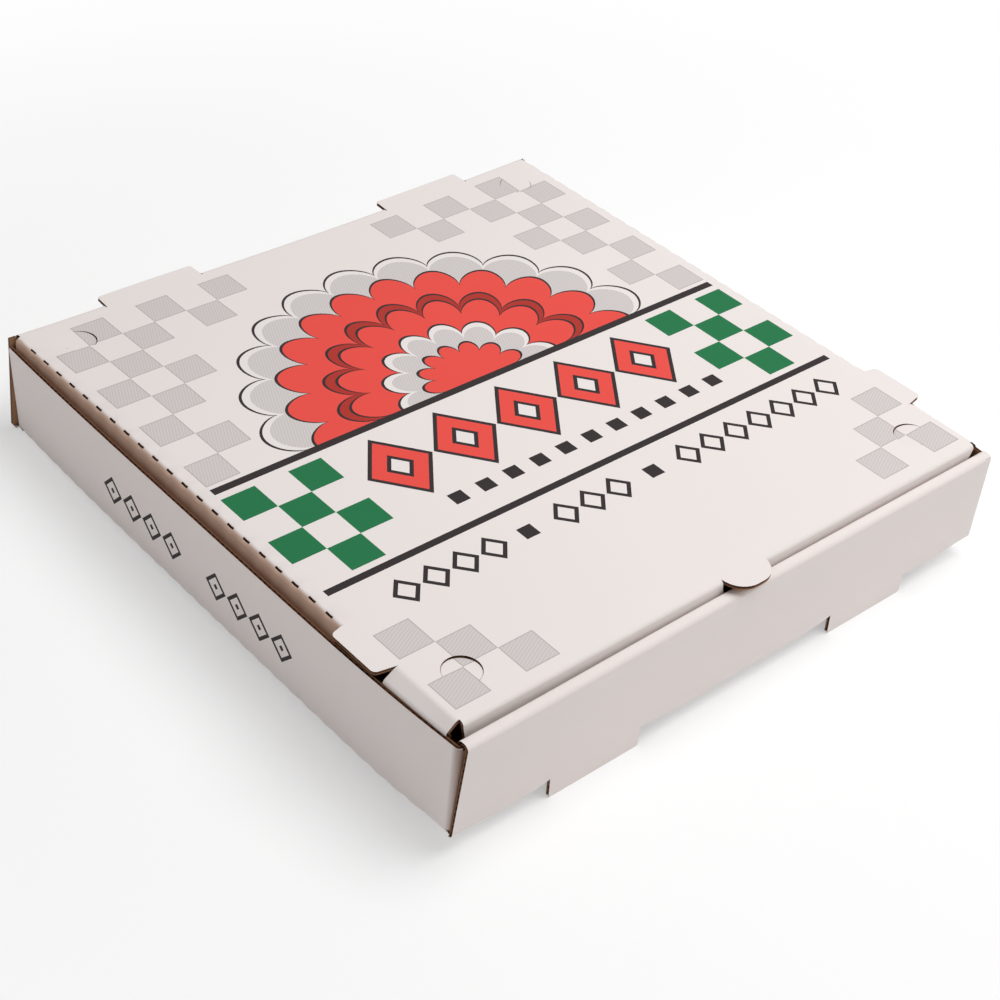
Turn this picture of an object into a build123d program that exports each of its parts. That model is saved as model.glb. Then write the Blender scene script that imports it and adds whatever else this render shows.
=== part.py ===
from build123d import *
from math import atan2, degrees, hypot
import os

# Board, creases and play, in millimetres
BOARD = 1.6             # thickness of the corrugated board
CREASE = 0.4            # inside radius of an ordinary crease
RIDGE_CREASE = 0.8      # inside radius of the two creases along the front wall's top
SHOULDER_CREASE = 2.6   # inside radius of the soft bend at the front of the lid's side flaps
SLIP = 0.5              # play between boards that lie side by side
LID_SLIP = 0.3          # play between a lid flap and the wall it tucks behind
HINGE_SLIT = 0.2        # slit that parts the lid from the rear wall along the hinge crease
HINGE_TAIL = 0.6        # straight board of the lid between its rear bend and that slit

# Box
INSIDE_WIDTH = 304.8    # between the side walls
INSIDE_DEPTH = 309.6    # from the front wall's inner panel to the rear wall
HEIGHT = 51.5           # underside to the lid's top
RIDGE_DROP = 4.6        # lid's top down to the rolled top of the front wall
SIDE_DROP = 5.5         # lid's top down to the side walls' top edge

# Corner flaps of the side walls
FRONT_FLAP = 60.0       # reach behind the front wall's outer panel
REAR_FLAP = 40.0        # reach inside the rear wall
FLAP_STEP = 1.5         # side wall's top edge down to the flap's
FLAP_TAPER = 8.0        # fall of the flap's top edge from its root to its free end

# Tabs cut across the front and rear creases, two on each
TAB_STATION = 80.3      # middle of the box to the middle of a tab
TAB_LENGTH = 49.0
TAB_SLANT = 2.0         # lean of each end over the tab's reach
TAB_CORNER = 2.5        # rounding of its tip
FOOT_REACH = 9.0        # front tabs below the underside
HEEL_REACH = 6.0        # rear tabs behind the rear wall
SWING_PLAY = 1.0        # play at each end of the notch that a rear tab swings through
LOCK_INSET = 2.0        # front wall's lock tabs shorter than their slots at each end

# Lid
SIDE_FLAP_DEPTH = 34.0  # lid's top down to the lower edge of a side flap
FRONT_FLAP_DEPTH = 34.0  # lid's top down to the lower edge of the front flap
FLAP_SLANT = 8.0        # lean of a flap's ends over its depth
REAR_END_GAP = 3.0      # side flaps' rear ends to the corner flaps
FRONT_END_GAP = 1.0     # side flaps' front ends to the front flap
SIDE_TAB_STATION = 99.6  # middle of the box forward to the middle of a side tab
SIDE_TAB_LENGTH = 30.0
SIDE_TAB_REACH = 6.4    # side tab past the side flap's middle plane
THUMB_WIDTH = 25.0
THUMB_OVERHANG = 2.7    # thumb tab past the front wall
THUMB_CORNER = 10.4     # rounding of the thumb tab, nearly a half round

# Vents and perforations of the lid
VENT_RADIUS = 8.0
VENT_SWEEP = 245.0      # degrees of circle that are cut, open towards the lid's corner
VENT_SIDE = 21.0        # lid's side crease to a vent's centre
VENT_END = 21.0         # lid's front or rear bend to a vent's centre
CUT = 0.6               # width of a knife cut
DASH_COUNT = 21
DASH_LENGTH = 4.2
DASH_PITCH = 10.9
DASH_REAR = 17.4        # outside of the rear wall to the middle of the first dash

# Levels and faces that follow from the sizes above
BEND = CREASE + BOARD / 2
SHOULDER_BEND = SHOULDER_CREASE + BOARD / 2
RIDGE_WIDTH = 3 * BOARD + 2 * SLIP
DEPTH = INSIDE_DEPTH + BOARD + RIDGE_WIDTH
FRONT = -DEPTH / 2
REAR = DEPTH / 2
OUTER_X = INSIDE_WIDTH / 2 + BOARD
RIDGE_TOP = HEIGHT - RIDGE_DROP
SIDE_TOP = HEIGHT - SIDE_DROP
LID_MID = HEIGHT - BOARD / 2
HINGE_Z = LID_MID - BEND - HINGE_TAIL
OUTER_PANEL_Y = FRONT + BOARD / 2
INNER_PANEL_Y = FRONT + RIDGE_WIDTH - BOARD / 2
FLAP_Y = REAR - BOARD - SLIP - BOARD / 2
LID_FLAP_X = INSIDE_WIDTH / 2 - LID_SLIP - BOARD / 2
LID_FRONT_Y = FRONT + RIDGE_WIDTH + LID_SLIP + BOARD / 2
SPAN = 2 * (INSIDE_WIDTH + INSIDE_DEPTH)


def folded(plane, low, high, radii, *points):
    """Board that follows a path with rounded corners in a plane, carried along its normal."""
    path = FilletPolyline(*points, radius=radii)
    return extrude(plane.offset(low) * trace(path, line_width=BOARD), amount=high - low)


def block(x, y, z):
    """Box between two limits on each axis."""
    return Pos(x[0], y[0], z[0]) * Box(x[1] - x[0], y[1] - y[0], z[1] - z[0], align=Align.MIN)


def tab_outline(length, reach, root, slant=TAB_SLANT, corner=TAB_CORNER):
    """Tab that points along +Y from its crease, with leaning ends, a rounded tip and a root behind the crease."""
    half = length / 2
    tip = half - slant
    corners = [(-half, -root), (half, -root), (half, 0), (tip, reach), (-tip, reach), (-half, 0)]
    outline = make_face(Polyline(*corners, close=True))
    return fillet(outline.vertices().group_by(Axis.Y)[-1], min(corner, tip, reach))


def both_sides(part):
    """The part with its mirror image on the box's other side."""
    return part + mirror(part, about=Plane.YZ)


def rolled_front_to_rear():
    """Strip from the front wall's inner panel over its ridge, under the floor and up the rear wall."""
    ridge = min(RIDGE_CREASE + BOARD / 2, 0.48 * (INNER_PANEL_Y - OUTER_PANEL_Y))
    strip = folded(
        Plane.YZ, -OUTER_X, OUTER_X, [ridge, ridge, BEND, BEND],
        (INNER_PANEL_Y, BOARD + SLIP),
        (INNER_PANEL_Y, RIDGE_TOP - BOARD / 2),
        (OUTER_PANEL_Y, RIDGE_TOP - BOARD / 2),
        (OUTER_PANEL_Y, BOARD / 2),
        (REAR - BOARD / 2, BOARD / 2),
        (REAR - BOARD / 2, HINGE_Z - HINGE_SLIT),
    )
    # The inner panel fits between the side walls, the floor stops at their bends,
    # and the rear wall has shoulders beside the lid
    beside_panel = block(
        (INSIDE_WIDTH / 2 - SLIP, SPAN), (FRONT + BOARD, FRONT + RIDGE_WIDTH + SLIP),
        (BOARD, RIDGE_TOP - BOARD / 2 - ridge))
    beside_floor = block((OUTER_X - BOARD / 2 - BEND, SPAN), (BEND - FLAP_Y, FLAP_Y - BEND), (-BOARD, 2 * BOARD))
    shoulder = block((LID_FLAP_X, SPAN), (REAR - 2 * BOARD, REAR + BOARD), (RIDGE_TOP, HEIGHT))
    return strip - both_sides(beside_panel) - both_sides(beside_floor) - both_sides(shoulder)


def side_wall():
    """Right wall, bent up from the floor and left as a raw edge on top."""
    wall_x = OUTER_X - BOARD / 2
    return folded(
        Plane.XZ, BEND - FLAP_Y, FLAP_Y - BEND, BEND,
        (wall_x - 4 * BEND, BOARD / 2), (wall_x, BOARD / 2), (wall_x, SIDE_TOP))


def corner_flap(reach, end):
    """Flap bent off the right wall's front (end -1) or rear (end 1), lower and tapered towards its free end."""
    wall_x = OUTER_X - BOARD / 2
    foot = BOARD + SLIP
    flap = folded(
        Plane.XY, foot, SIDE_TOP - FLAP_STEP, BEND,
        (wall_x - reach, end * FLAP_Y), (wall_x, end * FLAP_Y), (wall_x, end * (FLAP_Y - 4 * BEND)))
    low = SIDE_TOP - FLAP_STEP - FLAP_TAPER
    over = make_face(Polyline(
        (wall_x - BEND, SIDE_TOP - FLAP_STEP), (wall_x - reach, low),
        (wall_x - reach - BOARD, low), (wall_x - reach - BOARD, SIDE_TOP), (wall_x - BEND, SIDE_TOP), close=True))
    under = make_face(Polyline(
        (wall_x - BEND, foot), (wall_x - reach, foot + FLAP_TAPER),
        (wall_x - reach - BOARD, foot + FLAP_TAPER), (wall_x - reach - BOARD, 0), (wall_x - BEND, 0), close=True))
    return flap - extrude(Plane.XZ * (over + under), amount=SPAN, both=True)


def make_tray():
    """Floor, walls and rolled front of the blank, with the tabs and slots along its front and rear creases."""
    tray = rolled_front_to_rear()
    tray += both_sides(side_wall() + corner_flap(FRONT_FLAP, -1) + corner_flap(REAR_FLAP, 1))
    # Each foot tab stays in the outer panel's plane and leaves its outline as a slot in the floor
    slot = tab_outline(TAB_LENGTH, FOOT_REACH, BOARD)
    foot = tab_outline(TAB_LENGTH, FOOT_REACH, 4 * BEND)
    lock = Rectangle(TAB_LENGTH - 2 * (TAB_SLANT + LOCK_INSET), 4 * BEND, align=(Align.CENTER, Align.MIN))
    # Each rear tab swings with the lid through a notch as deep as its tip reaches below the hinge
    swing = hypot(HEEL_REACH, HEIGHT - HINGE_Z) + SLIP
    notch = tab_outline(TAB_LENGTH + 2 * SWING_PLAY, swing, HEIGHT - HINGE_Z)
    for station in (-TAB_STATION, TAB_STATION):
        tray -= extrude(Pos(station, FRONT, -BOARD) * slot, amount=3 * BOARD)
        tray += extrude(Pos(station, FRONT, 0) * (Plane.XZ * (Rot(0, 0, 180) * foot)), amount=-BOARD)
        tray += extrude(Pos(station, INNER_PANEL_Y, 0) * (Plane.XZ * lock), amount=BOARD / 2, both=True)
        tray -= extrude(
            Pos(station, REAR, HINGE_Z) * (Plane.XZ * (Rot(0, 0, 180) * notch)), amount=2 * BOARD, both=True)
    return tray


def lid_panel():
    """Lid's top with the rear bend down to the hinge crease and the front flap, which leans in to swing clear."""
    swing_back = FRONT_FLAP_DEPTH**2 / (2 * DEPTH) + LID_SLIP
    edge = LID_FLAP_X - BEND
    panel = folded(
        Plane.YZ, -edge, edge, BEND,
        (REAR - BOARD / 2, HINGE_Z), (REAR - BOARD / 2, LID_MID),
        (LID_FRONT_Y, LID_MID), (LID_FRONT_Y + swing_back, HEIGHT - FRONT_FLAP_DEPTH))
    # The front flap's ends slant in, starting where the soft bend of the side flaps does
    soft_edge = LID_FLAP_X - SHOULDER_BEND
    trim = make_face(Polyline(
        (soft_edge, HEIGHT + BOARD), (soft_edge, LID_MID - BEND), (soft_edge - FLAP_SLANT, HEIGHT - FRONT_FLAP_DEPTH),
        (soft_edge - FLAP_SLANT, 0), (SPAN, 0), (SPAN, HEIGHT + BOARD), close=True))
    beside = extrude(Pos(0, -SIDE_TAB_STATION, 0) * (Plane.XZ * trim), amount=SPAN)
    return panel - both_sides(beside)


def lid_side_flap():
    """Right flap of the lid, tucked inside the side wall, with a softer bend ahead of its side tab."""
    rear_end = FLAP_Y - BOARD / 2 - REAR_END_GAP
    front_end = LID_FRONT_Y + BOARD / 2 + FRONT_END_GAP
    lower = HEIGHT - SIDE_FLAP_DEPTH
    path = [(LID_FLAP_X - 2 * SHOULDER_BEND, LID_MID), (LID_FLAP_X, LID_MID), (LID_FLAP_X, lower)]
    flap = folded(Plane.XZ, -rear_end, SIDE_TAB_STATION, BEND, *path)
    flap += folded(Plane.XZ, SIDE_TAB_STATION, -front_end, SHOULDER_BEND, *path)
    outline = make_face(Polyline(
        (rear_end, HEIGHT + BOARD), (rear_end, LID_MID - BEND), (rear_end - FLAP_SLANT, lower),
        (front_end + FLAP_SLANT, lower), (front_end, LID_MID - BEND), (front_end, HEIGHT + BOARD), close=True))
    return flap & extrude(Plane.YZ * outline, amount=SPAN)


def make_lid():
    """Lid's top with its tucked flaps, the tabs that stay flat across its creases, vents and perforations."""
    lid = lid_panel() + both_sides(lid_side_flap())
    underside = HEIGHT - BOARD
    lid_edge = LID_FLAP_X - SHOULDER_BEND
    # Side tabs lie over the side walls
    side_reach = SIDE_TAB_REACH + SHOULDER_BEND
    side_tab = tab_outline(SIDE_TAB_LENGTH, side_reach, 2 * SHOULDER_BEND)
    side_notch = block(
        (lid_edge, SPAN), (-SIDE_TAB_STATION - SIDE_TAB_LENGTH / 2, -SIDE_TAB_STATION + SIDE_TAB_LENGTH / 2),
        (HEIGHT - side_reach, HEIGHT + BOARD))
    lid -= both_sides(side_notch)
    lid += both_sides(extrude(Pos(lid_edge, -SIDE_TAB_STATION, underside) * Rot(0, 0, -90) * side_tab, amount=BOARD))
    # Thumb tab reaches over the front ridge
    thumb_root = LID_FRONT_Y + BEND
    thumb_reach = thumb_root - FRONT + THUMB_OVERHANG
    thumb = tab_outline(THUMB_WIDTH, thumb_reach, 4 * BEND, corner=THUMB_CORNER)
    thumb_notch = Pos(0, LID_FRONT_Y, LID_MID) * (Plane.XZ * (Rot(0, 0, 180) * thumb))
    lid -= extrude(thumb_notch, amount=4 * BEND, both=True)
    lid += extrude(Pos(0, thumb_root, underside) * Rot(0, 0, 180) * thumb, amount=BOARD)
    # Heel tabs stand out behind the hinge crease
    heel_root = REAR - BOARD / 2 - BEND
    heel = tab_outline(TAB_LENGTH, REAR + HEEL_REACH - heel_root, 4 * BEND)
    for station in (-TAB_STATION, TAB_STATION):
        half = TAB_LENGTH / 2
        lid -= block((station - half, station + half), (heel_root, REAR + BOARD), (0, HEIGHT + BOARD))
        lid += extrude(Pos(station, heel_root, underside) * heel, amount=BOARD)
    return lid - vent_cuts() - both_sides(perforation())


def vent_cuts():
    """Knife cuts of the four half-moon vents, each open towards its corner of the lid."""
    x = LID_FLAP_X - VENT_SIDE
    open_end = (360 - VENT_SWEEP) / 2
    cuts = Part()
    for side in (1, -1):
        for end, y in ((1, REAR - VENT_END), (-1, LID_FRONT_Y + VENT_END)):
            towards_corner = degrees(atan2(end, side))
            arc = CenterArc((side * x, y), VENT_RADIUS, towards_corner + open_end, VENT_SWEEP)
            cuts += extrude(Pos(0, 0, HEIGHT - 2 * BOARD) * trace(arc, line_width=CUT), amount=3 * BOARD)
    return cuts


def perforation():
    """Row of knife cuts through the right side crease of the lid, each across the middle of its bend."""
    middle = BEND / 2**0.5
    dash = Pos(LID_FLAP_X - BEND + middle, 0, LID_MID - BEND + middle) * Rot(0, 45, 0) * Box(
        CUT, DASH_LENGTH, 3 * BOARD)
    first = REAR - DASH_REAR
    return Part() + [Pos(0, first - index * DASH_PITCH, 0) * dash for index in range(DASH_COUNT)]


os.makedirs("parts", exist_ok=True)
for name, piece in (("tray", make_tray()), ("lid", make_lid())):
    export_step(piece, f"parts/{name}.step")
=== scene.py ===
from collections import namedtuple
from math import cos, pi, radians, sin, tan, tau

import bpy
import numpy as np
from mathutils import Matrix, Vector
from mathutils.geometry import delaunay_2d_cdt


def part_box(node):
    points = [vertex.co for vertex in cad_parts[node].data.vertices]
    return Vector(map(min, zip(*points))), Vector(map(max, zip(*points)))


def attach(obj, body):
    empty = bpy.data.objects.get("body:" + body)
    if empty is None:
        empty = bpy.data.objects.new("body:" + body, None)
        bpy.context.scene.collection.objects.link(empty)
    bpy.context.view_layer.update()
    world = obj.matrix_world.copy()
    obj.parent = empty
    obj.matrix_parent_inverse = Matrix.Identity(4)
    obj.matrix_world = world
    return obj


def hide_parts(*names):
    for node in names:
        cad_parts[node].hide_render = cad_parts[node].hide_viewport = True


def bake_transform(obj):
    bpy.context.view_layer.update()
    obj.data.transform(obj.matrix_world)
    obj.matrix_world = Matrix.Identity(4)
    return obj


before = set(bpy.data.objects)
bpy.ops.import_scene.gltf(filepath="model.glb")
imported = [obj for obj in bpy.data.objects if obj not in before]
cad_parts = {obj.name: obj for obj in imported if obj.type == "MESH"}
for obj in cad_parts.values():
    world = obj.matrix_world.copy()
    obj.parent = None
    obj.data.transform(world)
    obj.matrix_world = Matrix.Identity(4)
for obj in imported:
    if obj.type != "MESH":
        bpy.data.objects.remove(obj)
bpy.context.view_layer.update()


# Tray floor
# The middle of the die-cut blank: corrugated board with its white liner facing down.
# Two slots along the front are left where the foot tabs are cut out of it.
MM = 0.001
BOARD = 1.6 * MM
BEND = 1.2 * MM             # crease radius at the middle of the board
LINE_STEP = 8 * MM          # spacing of the points that a panel and a crease share
FILL_STEP = 15 * MM         # spacing of the points inside a panel
ARC_POINTS = 9              # points round a corner of a knife line
CORE_DEPTH = 3 * MM         # how far in from a raw edge the flutes are seen
TAB_STATION = 80.3 * MM     # middle of the box to the middle of a foot or heel tab
TAB_HALF = 24.5 * MM
TAB_SLANT = 0.5 * MM        # how far a foot or heel tab draws in at each end
TAB_CORNER = 1.2 * MM
SLOT_DEPTH = 9 * MM
FLAP_PLAY = 0.5 * MM        # corner flaps to the rear wall
CREASE_STOP = 0.3 * MM      # side creases' ends to the rear crease, under the corner flaps

tray_low, tray_high = (np.array(corner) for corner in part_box("tray"))
lid_low, lid_high = (np.array(corner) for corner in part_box("lid"))
X_AXIS, Y_AXIS, Z_AXIS = np.eye(3)
EVEN_LINES = np.arange(-25, 26) * LINE_STEP
SIDE_X = tray_high[0] - BOARD / 2
FRONT_Y = tray_low[1] + BOARD / 2
REAR_Y = tray_high[1] - BOARD / 2
FLOOR_Z = BOARD / 2
CORNER_Y = REAR_Y - BOARD - FLAP_PLAY       # middle plane of the corner flaps
TAB_IN = TAB_STATION - TAB_HALF
TAB_OUT = TAB_STATION + TAB_HALF

Sheet = namedtuple("Sheet", "place facing flute depth faces")


def grid_lines(low, high, lines=EVEN_LINES):
    """Points along a run: its two ends and the given lines that lie clear of them."""
    clear = LINE_STEP / 8
    return np.concatenate(([low], lines[(lines > low + clear) & (lines < high - clear)], [high]))


def straight_run(start, end, a_lines, b_lines):
    """Points from start up to end: on the shared lines where the run is level or upright, else evenly."""
    span = end - start
    along = np.argmax(np.abs(span))
    if np.abs(span[1 - along]) > 1e-9:
        share = np.linspace(0, 1, int(np.linalg.norm(span) / LINE_STEP) + 2)
    else:
        stops = grid_lines(*sorted((start[along], end[along])), (a_lines, b_lines)[along])
        share = np.sort((stops - start[along]) / span[along])
    return start + share[:-1, None] * span


def cut_line(corners, a_lines=EVEN_LINES, b_lines=EVEN_LINES):
    """Closed knife line through corners (a, b) or (a, b, radius): a corner with a radius becomes an arc
    tangent to its two runs, from one touching point to the other by equal angles about the arc's centre."""
    points = np.array([corner[:2] for corner in corners])
    turns = []
    for index, corner in enumerate(corners):
        here = points[index]
        if len(corner) == 2:
            turns.append(here[None])
            continue
        back, ahead = (points[index - 1] - here, points[(index + 1) % len(points)] - here)
        back, ahead = back / np.linalg.norm(back), ahead / np.linalg.norm(ahead)
        half = np.arccos(back @ ahead) / 2
        reach = corner[2] / tan(half)
        centre = here + (back + ahead) / np.linalg.norm(back + ahead) * corner[2] / sin(half)
        share = np.linspace(0, 1, ARC_POINTS)[:, None]
        sweep = pi - 2 * half
        start, end = here + back * reach - centre, here + ahead * reach - centre
        arc = np.sin((1 - share) * sweep) * start + np.sin(share * sweep) * end
        turns.append(centre + arc / sin(sweep))
    turns = np.concatenate(turns)
    runs = zip(turns, np.roll(turns, -1, axis=0))
    return np.concatenate([straight_run(start, end, a_lines, b_lines) for start, end in runs])


def both_halves(right):
    """Corners of an outline that is the same on both sides of the box, from those of its right half."""
    return right + [(-corner[0], *corner[1:]) for corner in reversed(right)]


def on_sheet(points, loops):
    """True where a line from the point along +a crosses the knife lines an odd number of times."""
    odd = np.zeros(len(points), bool)
    for loop in loops:
        (a0, b0), (a1, b1) = loop.T, np.roll(loop, -1, axis=0).T
        a, b = points[:, 0, None], points[:, 1, None]
        rise = np.where(b1 == b0, 1, b1 - b0)
        crossed = ((b0 > b) != (b1 > b)) & (a < a0 + (b - b0) / rise * (a1 - a0))
        odd ^= crossed.sum(1) % 2 == 1
    return odd


def flat_sheet(origin, a_axis, b_axis, facing, across, outline, holes=(), depth=CORE_DEPTH):
    """Flat panel: place = origin + a * a_axis + b * b_axis over the area inside the outline and outside the
    holes, as Delaunay triangles that keep every knife line. across (0 or 1) is the coordinate that crosses
    the flutes, and depth is how far in the medium is made behind a raw edge."""
    loops = [outline, *holes]
    knots = np.concatenate(loops)
    low, high = outline.min(0), outline.max(0)
    a, b = np.meshgrid(np.arange(low[0], high[0], FILL_STEP), np.arange(low[1], high[1], FILL_STEP))
    fill = np.column_stack((a.ravel(), b.ravel()))
    fill = fill[on_sheet(fill, loops)]
    if len(fill):
        fill = fill[np.linalg.norm(fill[:, None] - knots, axis=2).min(1) > 0.4 * FILL_STEP]
    starts = np.cumsum([0] + [len(loop) for loop in loops])
    rings = [np.arange(start, end) for start, end in zip(starts, starts[1:])]
    edges = np.concatenate([np.column_stack((ring, np.roll(ring, -1))) for ring in rings])
    points = [Vector(point) for point in np.concatenate((knots, fill))]
    points, _, faces, *_ = delaunay_2d_cdt(points, edges.tolist(), [], 0, 1e-8)
    points, faces = np.array(points), np.array(faces)
    faces = faces[on_sheet(points[faces].mean(1), loops)]
    place = np.asarray(origin) + points[:, :1] * a_axis + points[:, 1:] * b_axis
    count = len(place)
    return Sheet(place, np.tile(facing, (count, 1)), points[:, across], np.full(count, depth), faces)


slot_floor = tray_low[1] + SLOT_DEPTH
floor_side = SIDE_X - BEND
floor_front = FRONT_Y + BEND
floor_rear = REAR_Y - BEND
side_end = CORNER_Y - BEND
crease_end = floor_rear - CREASE_STOP
floor_corners = both_halves([
    (TAB_IN, floor_front), (TAB_IN + TAB_SLANT, slot_floor, TAB_CORNER),
    (TAB_OUT - TAB_SLANT, slot_floor, TAB_CORNER), (TAB_OUT, floor_front),
    (tray_high[0], floor_front), (floor_side, -crease_end), (floor_side, -side_end),
    (floor_side, side_end), (floor_side, crease_end), (tray_high[0], floor_rear)])

# Scored side creases
# The creases along the box's sides are scored with a row of short knife cuts, so the board stands a little
# proud between two cuts. The row runs on past the lid's own cuts, towards both ends of the tray.
DASH_COUNT = 21
DASH_LENGTH = 4.2 * MM
DASH_PITCH = 10.9 * MM
DASH_REAR = 17.4 * MM       # outside of the rear wall to the middle of the first cut

dash_middles = tray_high[1] - DASH_REAR - DASH_PITCH * np.arange(-1, DASH_COUNT + 6)
dash_share = np.concatenate((np.linspace(-0.5, 0.5, 5) * DASH_LENGTH,
                             np.linspace(0.5 * DASH_LENGTH, DASH_PITCH - 0.5 * DASH_LENGTH, 5)[1:-1]))
SCORED_LINES = np.sort((dash_middles[:, None] + dash_share).ravel())

STRIP_DEPTH = 0.3 * MM      # depth of the medium where a raw edge belongs to a narrow strip

floor = flat_sheet((0, 0, FLOOR_Z), X_AXIS, Y_AXIS, -Z_AXIS, 1, cut_line(floor_corners, b_lines=SCORED_LINES))
floor = floor._replace(depth=np.where(np.abs(floor.place[:, 0]) > floor_side, STRIP_DEPTH, CORE_DEPTH))


def swept_sheet(path, facing, run, axis, lines, across, keep=None, depth=CORE_DEPTH):
    """Sheet swept along an axis: place = point of the path + line * axis. run is the length along the path,
    keep says which cells of the grid are board, and across is 0 where the path crosses the flutes, 1 where
    the lines do."""
    place = path[:, None] + lines[:, None] * axis
    shape = place.shape[:2]
    index = np.arange(place[..., 0].size).reshape(shape)
    cells = np.stack((index[:-1, :-1], index[1:, :-1], index[1:, 1:], index[:-1, 1:]), -1)
    cells = cells.reshape(-1, 4) if keep is None else cells[keep]
    flute = np.broadcast_to((run[:, None], lines)[across], shape)
    faces = np.concatenate((cells[:, [0, 1, 2]], cells[:, [0, 2, 3]]))
    return Sheet(place.reshape(-1, 3), np.repeat(facing, shape[1], axis=0), flute.ravel(),
                 np.broadcast_to(depth, shape).ravel(), faces)


def bend_sheet(centre, radius, start, end, axis, lines, across,
               turn=90, steps=8, keep=None, depth=CORE_DEPTH):
    """Crease: an arc about centre, place = centre + radius * facing, where facing turns from start to end."""
    angle = np.linspace(0, radians(turn), steps + 1)
    facing = np.cos(angle)[:, None] * start + np.sin(angle)[:, None] * end
    path = np.asarray(centre) + radius * facing
    return swept_sheet(path, facing, radius * angle, axis, lines, across, keep, depth)


# Front wall
# The blank's front panel stands up from the floor, rolls over a narrow ridge and comes down inside, where two
# lock tabs drop into the floor slots. Two foot tabs stay in the wall's plane and hang below the floor.
RIDGE_BEND = 1.6 * MM
RIDGE_TOP = 46.9 * MM
RIDGE_WIDTH = 5.8 * MM
FRONT_LEAN_OUT = 1.7 * MM   # how far the ridge stands out to the front at the box's left end
FRONT_SKEW = 2.6 * MM       # how far the ridge's left end is drawn in along the box
FRONT_RISE = 0.8 * MM       # how far the ridge's left end stands up
INNER_GAP = 0.5 * MM        # inner panel's ends to the side walls, and its lower edge to the floor
LOCK_INSET = 4 * MM         # lock tab shorter than its slot at each end

wall_foot = FLOOR_Z + BEND
ridge_z = RIDGE_TOP - BOARD / 2
ridge_start = ridge_z - RIDGE_BEND
inner_y = tray_low[1] + RIDGE_WIDTH - BOARD / 2
inner_side = SIDE_X - BOARD / 2 - INNER_GAP
inner_foot = BOARD + INNER_GAP
lock_in, lock_out = TAB_IN + LOCK_INSET, TAB_OUT - LOCK_INSET
full_width = grid_lines(-tray_high[0], tray_high[0])
between_tabs = [grid_lines(low, high) for low, high in (
    (-tray_high[0], -TAB_OUT), (-TAB_IN, TAB_IN), (TAB_OUT, tray_high[0]))]

front_outer = flat_sheet((0, FRONT_Y, 0), X_AXIS, Z_AXIS, -Y_AXIS, 1, cut_line(both_halves([
    (TAB_IN, wall_foot), (TAB_IN + TAB_SLANT, tray_low[2], TAB_CORNER),
    (TAB_OUT - TAB_SLANT, tray_low[2], TAB_CORNER), (TAB_OUT, wall_foot),
    (tray_high[0], wall_foot), (tray_high[0], ridge_start)])))
front_creases = [
    bend_sheet((0, floor_front, wall_foot), BEND, -Z_AXIS, -Y_AXIS, X_AXIS, lines, 0)
    for lines in between_tabs]
ridge_front, ridge_back = FRONT_Y + RIDGE_BEND, inner_y - RIDGE_BEND
back_width = np.unique(np.concatenate((full_width, (-inner_side, inner_side))))
ridge = [
    bend_sheet((0, ridge_front, ridge_start), RIDGE_BEND, -Y_AXIS, Z_AXIS, X_AXIS, full_width, 0),
    flat_sheet((0, 0, ridge_z), X_AXIS, Y_AXIS, Z_AXIS, 1, cut_line(both_halves([
        (tray_high[0], ridge_front), (tray_high[0], ridge_back)]))),
    bend_sheet((0, ridge_back, ridge_start), RIDGE_BEND, Z_AXIS, Y_AXIS, X_AXIS, back_width, 0,
               depth=np.where(np.abs(back_width) < inner_side, CORE_DEPTH, STRIP_DEPTH))]
front_inner = flat_sheet((0, inner_y, 0), X_AXIS, Z_AXIS, Y_AXIS, 1, cut_line(both_halves([
    (lock_in, inner_foot), (lock_in, 0), (lock_out, 0), (lock_out, inner_foot),
    (inner_side, inner_foot), (inner_side, ridge_start)])))


def up_left(place, power):
    """Share of the height above the floor's crease, times the share of the way left to a power."""
    left = np.clip(-place[:, 0] / SIDE_X, 0, 1) ** power
    return left * np.clip((place[:, 2] - wall_foot) / (RIDGE_TOP - wall_foot), 0, 1)


def leaned(sheet, reach):
    """Sheet that leans out to the front at the box's left end: y falls by reach times the share of the
    height, times (share of the way left) ** 1.5, times (share of the way forward) ** 4."""
    forward = np.clip(sheet.place[:, 1] / FRONT_Y, 0, 1) ** 4
    return sheet._replace(place=sheet.place - (reach * forward * up_left(sheet.place, 1.5))[:, None] * Y_AXIS)


def skewed(sheet):
    """Sheet whose left end is drawn in and up with its height: x grows by FRONT_SKEW and z by FRONT_RISE,
    times the share of the height and (share of the way left) ** 6."""
    shift = FRONT_SKEW * X_AXIS + FRONT_RISE * Z_AXIS
    return sheet._replace(place=sheet.place + up_left(sheet.place, 6)[:, None] * shift)


front_sheets = [front_outer, *front_creases, *ridge, front_inner]
front_wall = [skewed(leaned(sheet, FRONT_LEAN_OUT)) for sheet in front_sheets]


# Rear wall
# Stands up from the floor's rear crease and carries the lid along its top edge.
# Two notches let the heel tabs of the lid swing down, and its ends are shoulders beside the lid.
SHOULDER_TOP = 49.4 * MM
SHOULDER_GAP = 0.2 * MM     # shoulder to the end of the hinge crease
CREASE_FOOT = 47.2 * MM     # where the hinge crease begins
NOTCH_PLAY = 0.5 * MM       # heel tab to the sides of its notch
NOTCH_FLOOR = 41.9 * MM
LID_PLAY = 0.3 * MM         # lid's flaps to the walls beside them

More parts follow.
